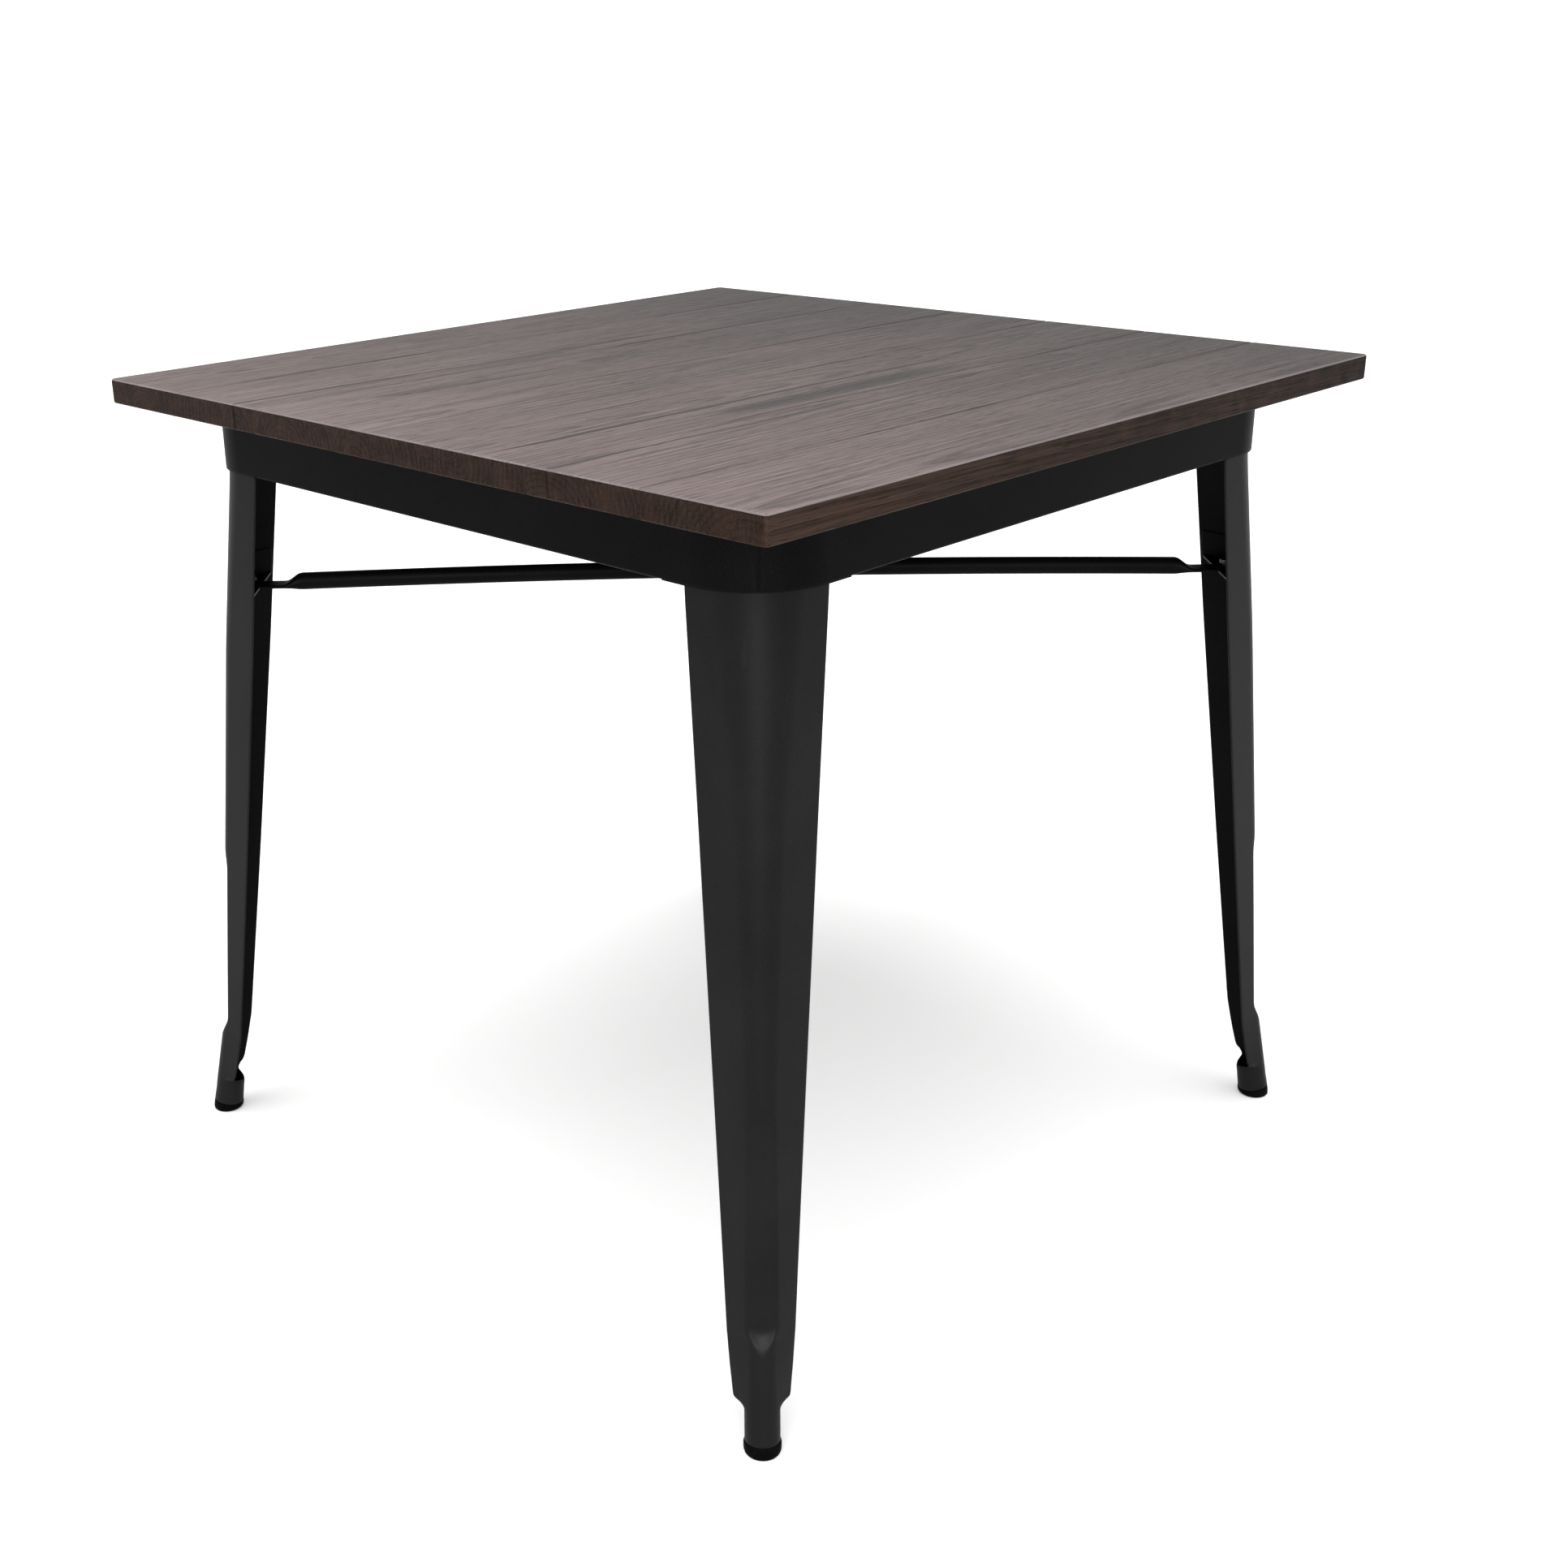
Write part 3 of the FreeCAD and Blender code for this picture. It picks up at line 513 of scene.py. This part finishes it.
shape = bmesh.new()
columns = []
for mirror in (-1, 1):
    order = range(len(side_shares) - 1, 0, -1) if mirror < 0 else range(len(side_shares))
    columns += [(mirror, index) for index in order]
row = [shape.verts.new((0, 0, 0)) for _ in columns]
for first, second in zip(row, row[1:]):
    shape.edges.new((first, second))
for number, level in enumerate(levels):
    section = leg_section(level, side_shares)
    axis_reach = eased_values(level)[1] - foot_round
    slant = 0.2 * ease(-level, -25.0, -10.0)
    if number:
        edges = [shape.edges.get(pair) for pair in zip(row, row[1:])]
        made = bmesh.ops.extrude_edge_only(shape, edges=edges)["geom"]
        fresh = {v for v in made if isinstance(v, bmesh.types.BMVert)}
        row = [next(e.other_vert(v) for e in v.link_edges if e.other_vert(v) in fresh)
               for v in row]
    for point, (mirror, index) in zip(row, columns):
        reach_here, across_here = section[index]
        point.co = in_corner(reach_here, mirror * across_here,
                             level + slant * (reach_here - axis_reach))
bmesh.ops.recalc_face_normals(shape, faces=shape.faces)
face = max(shape.faces, key=lambda f: f.calc_center_median().x + f.calc_center_median().y)
if face.normal.x + face.normal.y < 0:
    bmesh.ops.reverse_faces(shape, faces=shape.faces)
leg_shape = shape
corners = (("back_right", 0), ("back_left", 90), ("front_left", 180), ("front_right", 270))
for corner_name, degrees in corners:
    leg = leg_shape.copy()
    turn_upright(leg, degrees)
    piece = make_piece(leg, f"pressed_leg_{corner_name}", coat, "black_powder_coat",
                       f"leg_{corner_name}")
    # The inner faces of the sheet take the darker copy of the coat, painted shade.
    piece.data.materials.append(coat_in_painted_shade)
    wall = piece.modifiers.new("sheet", "SOLIDIFY")
    wall.thickness = sheet_thick
    wall.offset = -1
    wall.material_offset = 1
    soften = piece.modifiers.new("soften", "SUBSURF")
    soften.levels = soften.render_levels = 1
leg_shape.free()


# Gussets: a small shelf with upturned sides, folded from 2 mm sheet and welded inside each leg
# to carry a brace end. They take the darker copy of the coat, painted shade, like the legs'
# inner faces.

for corner_name, _ in corners:
    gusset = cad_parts[f"brace_gusset_{corner_name}"]
    gusset.data.materials.clear()
    gusset.data.materials.append(coat_in_painted_shade)


# Foot caps: moulded black rubber, pushed up the rolled feet, with a soft lower rim and a sole
# that is cut level with the floor.

rubber, shader, add = new_finish("black_rubber", IOR=1.5, Specular_IOR_Level=0.02)
place = add.node("TexCoord", output="Object")
moulded = place.noise((900, 900, 900), 3.0, 0.6)
smudges = place.noise((90, 90, 40), 3.0, 0.6, shift=(1, 7, 2))
tint = add.mix(smudges.between(0.4, 0.75), (0.0012, 0.0012, 0.0013, 1), (0.0035, 0.0033, 0.0032, 1))
feed(shader, Base_Color=tint, Roughness=0.62 + (smudges - 0.5) * 0.25,
     Normal=add.bump(moulded, 0.00010))

cap_radius = 0.0151
cap_lean = 0.2
sole_reach = 0.53306


def grow_ring(shape, ring, flat_ring):
    """Extrude a closed ring once, and hand each point's place on the flat ring to the new one."""
    made = bmesh.ops.extrude_edge_only(shape, edges=ring)["geom"]
    fresh = {v for v in made if isinstance(v, bmesh.types.BMVert)}
    flat_ring = [(next(e.other_vert(v) for e in v.link_edges if e.other_vert(v) in fresh), spot)
                 for v, spot in flat_ring]
    ring = [e for e in made if isinstance(e, bmesh.types.BMEdge)
            and all(v in fresh for v in e.verts)]
    return ring, flat_ring


for corner_name, degrees in corners:
    shape = bmesh.new()
    bmesh.ops.create_circle(shape, cap_ends=False, segments=48, radius=cap_radius)
    ring = list(shape.edges)
    rings = ((0.0085, 0.0, 0.955), (0.0085, 0.0, 0.985), (0.0078, 0.0, 1.0), (0.0045, 0.4, 1.0),
             (0.0026, 0.8, 0.992), (0.0013, 1.0, 0.962), (0.0004, 1.0, 0.91), (0.0, 1.0, 0.84))
    flat_ring = [(v, v.co.copy()) for v in shape.verts]
    for number, (rise, level_share, size) in enumerate(rings):
        if number:
            ring, flat_ring = grow_ring(shape, ring, flat_ring)
        for point, spot in flat_ring:
            slant = cap_lean * (1 - level_share) * spot.x * size
            level = max(rise + slant, 0.0)
            point.co = Vector((sole_reach - cap_lean * level + spot.x * size,
                               spot.y * size, level))
    bmesh.ops.holes_fill(shape, edges=ring)
    top_ring = [e for e in shape.edges if e.is_boundary]
    bmesh.ops.holes_fill(shape, edges=top_ring)
    bmesh.ops.recalc_face_normals(shape, faces=shape.faces)
    turn_upright(shape, 45 + degrees)
    make_piece(shape, f"rubber_cap_{corner_name}", rubber, "rubber", f"foot_cap_{corner_name}")


# Braces: two bowed 16 mm tubes that cross under the top, one over and one under. Each end is
# pressed flat, rounded and drilled, and they are coated black like the frame.

brace_low = Vector(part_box("brace_upper")[0])
tube_radius = 0.008
tongue_half_thick = 0.0015
tongue_level = brace_low.z + tongue_half_thick
neck_at, flat_at, hole_at, tongue_half = 0.408, 0.424, 0.455, 0.011
neck_shift, bow = 0.0032, 0.0048


def brace_ring(x):
    """Height of the brace's centre, half its width, half its thickness and how flat it is."""
    from_middle = abs(x)
    if from_middle <= neck_at:
        share = from_middle / neck_at
        return neck_shift + bow * (1 - share * share), tube_radius, tube_radius, 0.0
    flat = ease(from_middle, neck_at - 0.001, flat_at + 0.001)
    wide = tube_radius + (tongue_half - tube_radius) * flat
    if from_middle > hole_at:
        wide = math.sqrt(max(tongue_half ** 2 - (from_middle - hole_at) ** 2, 0.0))
    thick = tube_radius + (tongue_half_thick - tube_radius) * flat
    return neck_shift * (1 - flat), wide, min(thick, max(wide, 0.0004)), flat


half_marks = [0.0, 0.05, 0.11, 0.17, 0.23, 0.29, 0.34, 0.375, 0.395, 0.404, 0.407, 0.410, 0.4125,
              0.415, 0.4175, 0.420, 0.4225, 0.425, 0.428, 0.435, 0.445, 0.455, 0.4585, 0.4615,
              0.4635, 0.4648, 0.4656]
marks = [-x for x in reversed(half_marks[1:])] + half_marks
for name, side_up, degrees in (("upper", 1, -45), ("lower", -1, 45)):
    shape = bmesh.new()
    made = bmesh.ops.create_circle(shape, cap_ends=True, segments=32, radius=1.0)
    flat_ring = [(v, v.co.copy()) for v in made["verts"]]
    ring = list(shape.edges)
    for number, x in enumerate(marks):
        if number:
            ring, flat_ring = grow_ring(shape, ring, flat_ring)
        shift, wide, thick, flat = brace_ring(x)
        for point, spot in flat_ring:
            boxy_y = math.copysign(abs(spot.x) ** (1 - 0.45 * flat), spot.x)
            boxy_z = math.copysign(abs(spot.y) ** (1 - 0.55 * flat), spot.y)
            point.co = Vector((x, boxy_y * wide, tongue_level + side_up * shift + boxy_z * thick))
    bmesh.ops.holes_fill(shape, edges=ring)
    bmesh.ops.recalc_face_normals(shape, faces=shape.faces)
    turn_upright(shape, degrees)
    # The braces take the darker copy of the coat, painted shade.
    make_piece(shape, f"tube_brace_{name}", coat_in_painted_shade, "black_powder_coat", f"brace_{name}")


# Bolts and nuts: M6 with chamfered hexagons, blackened and lightly oiled. Four hold each leg to
# nuts welded inside the apron, one holds each brace end to its gusset, and one ties the crossing.

def bare_steel(name, light, dark, stained):
    """Steel as it comes from the plating bath: a fine crystal pattern, turning marks and stains."""
    finish, shader, add = new_finish(name, Metallic=1.0)
    place = add.node("TexCoord", output="Object")
    spangle = place.noise((420, 420, 420), 2.0, 0.5)
    turning = place.noise((180, 180, 3600), 1.0, 0.5)
    stains = place.noise((70, 70, 70), 3.0, 0.6, shift=(5, 5, 5)).between(0.45, 0.75)
    plating = add.mix(spangle, dark, light)
    feed(shader, Base_Color=add.mix(stains * 0.5, plating, stained),
         Roughness=0.32 + (spangle - 0.5) * 0.15 + stains * 0.25,
         Normal=add.bump(turning * 0.6 + spangle * 0.4, 0.00006))
    return finish


blackened = bare_steel("blackened_steel", (0.045, 0.045, 0.050, 1), (0.025, 0.025, 0.028, 1),
                       (0.030, 0.022, 0.018, 1))
hex_radius = 0.010 / math.sqrt(3)
bolt_radius = 0.003
head_high = 0.004
chamfer = 0.0006


def add_hexagon(shape, low, high, corner_off):
    """A hexagon along Z with its corners turned off at the outer end."""
    made = bmesh.ops.create_cone(shape, cap_ends=True, segments=6, radius1=hex_radius,
                                 radius2=hex_radius, depth=high - low,
                                 matrix=Matrix.Translation((0, 0, (low + high) / 2)))["verts"]
    rim = {e for v in made for e in v.link_edges if abs(v.co.z - low) < 1e-6
           and abs(e.other_vert(v).co.z - low) < 1e-6}
    round_edges(shape, rim, corner_off, 2)


def draw_ring(shape, ring, growth, up):
    """Extrude a closed ring along Z and resize it about the Z axis."""
    made = bmesh.ops.extrude_edge_only(shape, edges=ring)["geom"]
    fresh = [g for g in made if isinstance(g, bmesh.types.BMVert)]
    ring = [g for g in made if isinstance(g, bmesh.types.BMEdge)
            and all(v in fresh for v in g.verts)]
    bmesh.ops.scale(shape, vec=(growth, growth, 1), verts=fresh)
    bmesh.ops.translate(shape, vec=(0, 0, up), verts=fresh)
    return ring, fresh


def add_rod(shape, radius, low, high, tip):
    """A threaded rod along Z: fine rings, with a chamfer at the high end."""
    made = bmesh.ops.create_circle(shape, cap_ends=True, segments=20, radius=radius,
                                   matrix=Matrix.Translation((0, 0, low)))["verts"]
    ring = list({e for v in made for e in v.link_edges if all(w in made for w in e.verts)})
    turns = max(int((high - low - tip) / 0.0005), 1)
    stops = [(low + (high - low - tip) * (k + 1) / turns, radius - 0.00022 * (k % 2))
             for k in range(turns)] + [(high, radius - tip)]
    now = radius
    level = low
    for stop, size in stops:
        ring, _ = draw_ring(shape, ring, size / now, stop - level)
        now, level = size, stop
    bmesh.ops.holes_fill(shape, edges=ring)


def aim(shape, start, spot, direction):
    """Move what was added since start from the Z axis to a spot and a direction."""
    fresh = shape.verts[start:]
    turn = Vector((0, 0, 1)).rotation_difference(Vector(direction)).to_matrix()
    bmesh.ops.rotate(shape, cent=(0, 0, 0), matrix=turn, verts=fresh)
    bmesh.ops.translate(shape, vec=spot, verts=fresh)


def add_bolt(shape, spot, direction, length):
    """A hexagon bolt whose shank runs from a spot in a direction."""
    start = len(shape.verts)
    add_hexagon(shape, -head_high, 0.0, chamfer)
    add_rod(shape, bolt_radius, 0.0, length, chamfer)
    shape.verts.ensure_lookup_table()
    aim(shape, start, spot, direction)


def middle(node):
    """The middle of a CAD node's box, with its lowest and highest corners."""
    low, high = [Vector(corner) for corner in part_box(node)]
    return (low + high) / 2, low, high


bolt_length = 0.0075
leg_face = 0.34199
bolt_line = leg_face - 0.068
for corner_name, degrees in corners:
    shape = bmesh.new()
    for level in (0.691, 0.716):
        for spot, direction in (((leg_face - sheet_thick, bolt_line, level), (1, 0, 0)),
                                ((bolt_line, leg_face - sheet_thick, level), (0, 1, 0))):
            add_bolt(shape, spot, direction, bolt_length)
    turn_upright(shape, degrees)
    bmesh.ops.recalc_face_normals(shape, faces=shape.faces)
    make_piece(shape, f"hex_bolts_{corner_name}", blackened, "blackened_steel",
               f"leg_bolts_{corner_name}")

    weld_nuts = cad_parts[f"weld_nuts_{corner_name}"]
    weld_nuts.data.materials.clear()
    weld_nuts.data.materials.append(coat)

    centre, low, high = middle(f"brace_end_bolt_{corner_name}")
    shape = bmesh.new()
    add_bolt(shape, (centre.x, centre.y, high.z - head_high), (0, 0, -1),
             high.z - head_high - low.z)
    bmesh.ops.recalc_face_normals(shape, faces=shape.faces)
    make_piece(shape, f"end_bolt_{corner_name}", blackened, "blackened_steel",
               f"brace_end_bolt_{corner_name}")

    centre, low, high = middle(f"brace_end_nut_{corner_name}")
    shape = bmesh.new()
    add_hexagon(shape, 0.0, high.z - low.z, chamfer)
    bmesh.ops.translate(shape, vec=(centre.x, centre.y, low.z), verts=shape.verts)
    bmesh.ops.recalc_face_normals(shape, faces=shape.faces)
    make_piece(shape, f"end_nut_{corner_name}", blackened, "blackened_steel",
               f"brace_end_nut_{corner_name}")

_, low, high = middle("crossing_bolt")
shape = bmesh.new()
add_bolt(shape, (0, 0, high.z - head_high), (0, 0, -1), high.z - head_high - low.z)
bmesh.ops.recalc_face_normals(shape, faces=shape.faces)
make_piece(shape, "long_bolt", blackened, "blackened_steel", "crossing_bolt")

_, low, high = middle("crossing_nut")
shape = bmesh.new()
add_hexagon(shape, 0.0, high.z - low.z, chamfer)
bmesh.ops.translate(shape, vec=(0, 0, low.z), verts=shape.verts)
bmesh.ops.recalc_face_normals(shape, faces=shape.faces)
make_piece(shape, "long_bolt_nut", blackened, "blackened_steel", "crossing_nut")

_, low, high = middle("crossing_washers")
washer_radius, washer_thick = 0.006, 0.0012
shape = bmesh.new()
for level in (low.z, high.z - washer_thick):
    lifted = Matrix.Translation((0, 0, level + washer_thick / 2))
    bmesh.ops.create_cone(shape, cap_ends=True, segments=40, radius1=washer_radius,
                          radius2=washer_radius, depth=washer_thick, matrix=lifted)
round_edges(shape, [e for e in shape.edges if e.calc_face_angle(0) > 1.0], 0.0002, 2)
bmesh.ops.recalc_face_normals(shape, faces=shape.faces)
make_piece(shape, "washers", blackened, "blackened_steel", "crossing_washers")


# Wood screws: zinc-plated pan heads with a star recess, driven up through the apron's flange
# into every board.

zinc = bare_steel("zinc_plated_steel", (0.66, 0.66, 0.67, 1), (0.50, 0.51, 0.54, 1),
                  (0.30, 0.29, 0.27, 1))


def add_pan_head(shape, spot):
    """A pan head whose flat seat is at a spot, facing down, with a star recess."""
    made = bmesh.ops.create_circle(shape, cap_ends=False, segments=24, radius=0.0039)["verts"]
    ring = list({e for v in made for e in v.link_edges})
    start = len(shape.verts) - len(made)
    now, level = 0.0039, 0.0
    profile = ((0.0040, 0.0003), (0.0039, 0.0011), (0.0034, 0.0019), (0.0026, 0.0023),
               (0.0019, 0.0024), (0.0018, 0.0022), (0.0016, 0.0010))
    for number, (size, rise) in enumerate(profile):
        ring, fresh = draw_ring(shape, ring, size / now, level - rise)
        if number == 4:
            for point in fresh:
                lobe = math.cos(6 * math.atan2(point.co.y, point.co.x))
                point.co.x *= 1 - 0.16 * (1 - lobe)
                point.co.y *= 1 - 0.16 * (1 - lobe)
        now, level = size, rise
    bmesh.ops.holes_fill(shape, edges=ring)
    shape.verts.ensure_lookup_table()
    bmesh.ops.translate(shape, vec=spot, verts=shape.verts[start:])


screw_line = 0.338
screw_head_high = 0.0024
spots_along = {"front": (-0.2, 0.0, 0.2), "back": (-0.2, 0.0, 0.2)}
board_lines = [steps * board_wide for steps in range(-2, 3)]
for side_name, degrees in sides:
    _, low, high = middle(f"top_screws_{side_name}")
    shape = bmesh.new()
    for x in spots_along.get(side_name, board_lines):
        add_pan_head(shape, (x, -screw_line, low.z + screw_head_high))
    turn_upright(shape, degrees)
    bmesh.ops.recalc_face_normals(shape, faces=shape.faces)
    make_piece(shape, f"wood_screws_{side_name}", zinc, "zinc_steel", f"top_screws_{side_name}")


# Studio: a wide pale floor with a faint glow, painted light that lifts the table's shadow on it,
# under a soft sun and a sky that is bright at the horizon and overhead and dimmer between. The
# softbox lights glossy reflections only.

plaster, shader, add = new_finish("pale_floor", Roughness=0.8, Specular_IOR_Level=0.2,
                                 Emission_Strength=0.22)
place = add.node("TexCoord", output="Object")
mottle = place.noise((0.8, 0.8, 0.8), 2.0, 0.5)
feed(shader, Base_Color=add.mix(mottle, (0.82, 0.82, 0.815, 1), (0.85, 0.85, 0.85, 1)))
shape = bmesh.new()
bmesh.ops.create_circle(shape, cap_ends=True, segments=64, radius=60.0)
mesh = bpy.data.meshes.new("floor")
shape.to_mesh(mesh)
shape.free()
mesh.materials.append(plaster)
floor = bpy.data.objects.new("floor", mesh)
bpy.context.scene.collection.objects.link(floor)

world = bpy.data.worlds.new("studio")
bpy.context.scene.world = world
world.use_nodes = True
backdrop = world.node_tree.nodes["Background"]
add = Shade(world.node_tree)
direction = add.node("TexCoord", output="Generated")
rise = add.node("SeparateXYZ", {}, {0: direction}, output="Z")
glow = rise.between(0.10, 0.20, 1.05, 0.42) + rise.between(0.45, 0.80, 0.0, 0.9)
world.node_tree.links.new(glow.socket, backdrop.inputs["Strength"])
backdrop.inputs["Color"].default_value = (1, 1, 1, 1)

key = bpy.data.lights.new("overhead", "SUN")
key.energy = 2.1
key.angle = math.radians(55)
lamp = bpy.data.objects.new("overhead", key)
lamp.rotation_euler = Vector((-0.30, -0.12, 1.0)).to_track_quat("Z", "Y").to_euler()
bpy.context.scene.collection.objects.link(lamp)

softbox = bpy.data.lights.new("softbox", "AREA")
softbox.shape = "SQUARE"
softbox.size = 0.9
softbox.energy = 200
lamp = bpy.data.objects.new("softbox", softbox)
lamp.location = (-2.2, -2.2, 1.6)
lamp.rotation_euler = Vector((-1.82, -1.82, 1.5)).to_track_quat("Z", "Y").to_euler()
lamp.visible_diffuse = False
bpy.context.scene.collection.objects.link(lamp)


# Camera: in front of the near corner and a little above the top, tilted down to the table.

camera = bpy.data.objects.new("camera", bpy.data.cameras.new("camera"))
camera.data.lens = 44.35
camera.data.sensor_width = 36
camera.data.shift_x = 0.0871
heading, tilt, roll = -44.02, 68.56, -1.283
camera.matrix_world = (Matrix.Translation((-1.2807, -1.1990, 1.0418))
                       @ Matrix.Rotation(math.radians(heading), 4, "Z")
                       @ Matrix.Rotation(math.radians(tilt), 4, "X")
                       @ Matrix.Rotation(math.radians(roll), 4, "Z"))
bpy.context.scene.collection.objects.link(camera)
bpy.context.scene.camera = camera
bpy.context.scene.view_settings.view_transform = "Standard"
